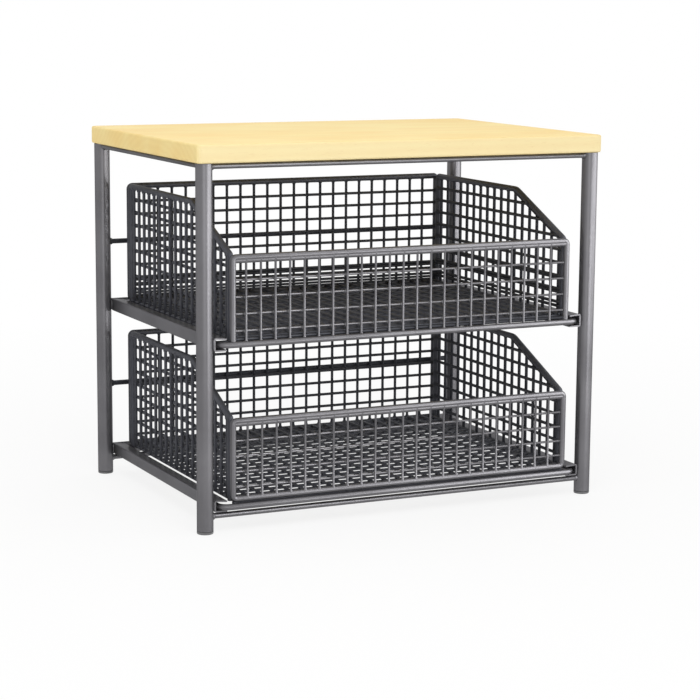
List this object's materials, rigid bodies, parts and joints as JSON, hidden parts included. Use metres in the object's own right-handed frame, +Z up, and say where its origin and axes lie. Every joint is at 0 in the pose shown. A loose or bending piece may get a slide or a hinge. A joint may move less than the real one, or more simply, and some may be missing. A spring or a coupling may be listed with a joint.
{
  "type": "countertop storage rack",
  "caption": "Small countertop rack with a flat wooden top, round steel legs and wire baskets with low sloping fronts that pull out on runners.",
  "frame": {"origin": "middle of the footprint, on the surface that the rack stands on", "axes": "+X along the width, to the right as seen from the front; +Y to the back, the baskets slide out towards -Y; +Z up"},
  "size_m": [0.372, 0.26, 0.315],
  "materials": {
    "pale_wood": "satin lacquer",
    "grey_powder_coat": "semi-gloss powder coat",
    "black_plastic": "matt",
    "zinc_plated_steel": "zinc plated"
  },
  "bodies": {
    "rack": {"top_board": "pale_wood", "leg_front_left": "grey_powder_coat", "leg_front_right": "grey_powder_coat", "leg_rear_left": "grey_powder_coat", "leg_rear_right": "grey_powder_coat", "foot_plug_front_left": "black_plastic", "foot_plug_front_right": "black_plastic", "foot_plug_rear_left": "black_plastic", "foot_plug_rear_right": "black_plastic", "top_bar_front": "grey_powder_coat", "top_bar_rear": "grey_powder_coat", "top_bar_left": "grey_powder_coat", "top_bar_right": "grey_powder_coat", "bottom_bar_front": "grey_powder_coat", "bottom_bar_rear": "grey_powder_coat", "rear_rod_upper": "grey_powder_coat", "rear_rod_lower": "grey_powder_coat", "tab_front_left": "grey_powder_coat", "tab_front_right": "grey_powder_coat", "tab_rear_left": "grey_powder_coat", "tab_rear_right": "grey_powder_coat", "screw_front_left": "zinc_plated_steel", "screw_front_right": "zinc_plated_steel", "screw_rear_left": "zinc_plated_steel", "screw_rear_right": "zinc_plated_steel", "runner_upper_left": "grey_powder_coat", "runner_upper_right": "grey_powder_coat", "runner_lower_left": "grey_powder_coat", "runner_lower_right": "grey_powder_coat", "stop_strip_upper": "grey_powder_coat", "stop_strip_lower": "grey_powder_coat"},
    "upper_basket": {"upper_slide_ring": "grey_powder_coat", "upper_front_panel": "grey_powder_coat", "upper_back_panel": "grey_powder_coat", "upper_left_panel": "grey_powder_coat", "upper_right_panel": "grey_powder_coat", "upper_floor": "grey_powder_coat"},
    "lower_basket": {"lower_slide_ring": "grey_powder_coat", "lower_front_panel": "grey_powder_coat", "lower_back_panel": "grey_powder_coat", "lower_left_panel": "grey_powder_coat", "lower_right_panel": "grey_powder_coat", "lower_floor": "grey_powder_coat"}
  },
  "joints": [
    {"name": "upper_basket_slide", "type": "slide", "parent": "rack", "child": "upper_basket", "axis": [0, -1, 0], "range_m": [0, 0.18]},
    {"name": "lower_basket_slide", "type": "slide", "parent": "rack", "child": "lower_basket", "axis": [0, -1, 0], "range_m": [0, 0.18]}
  ]
}
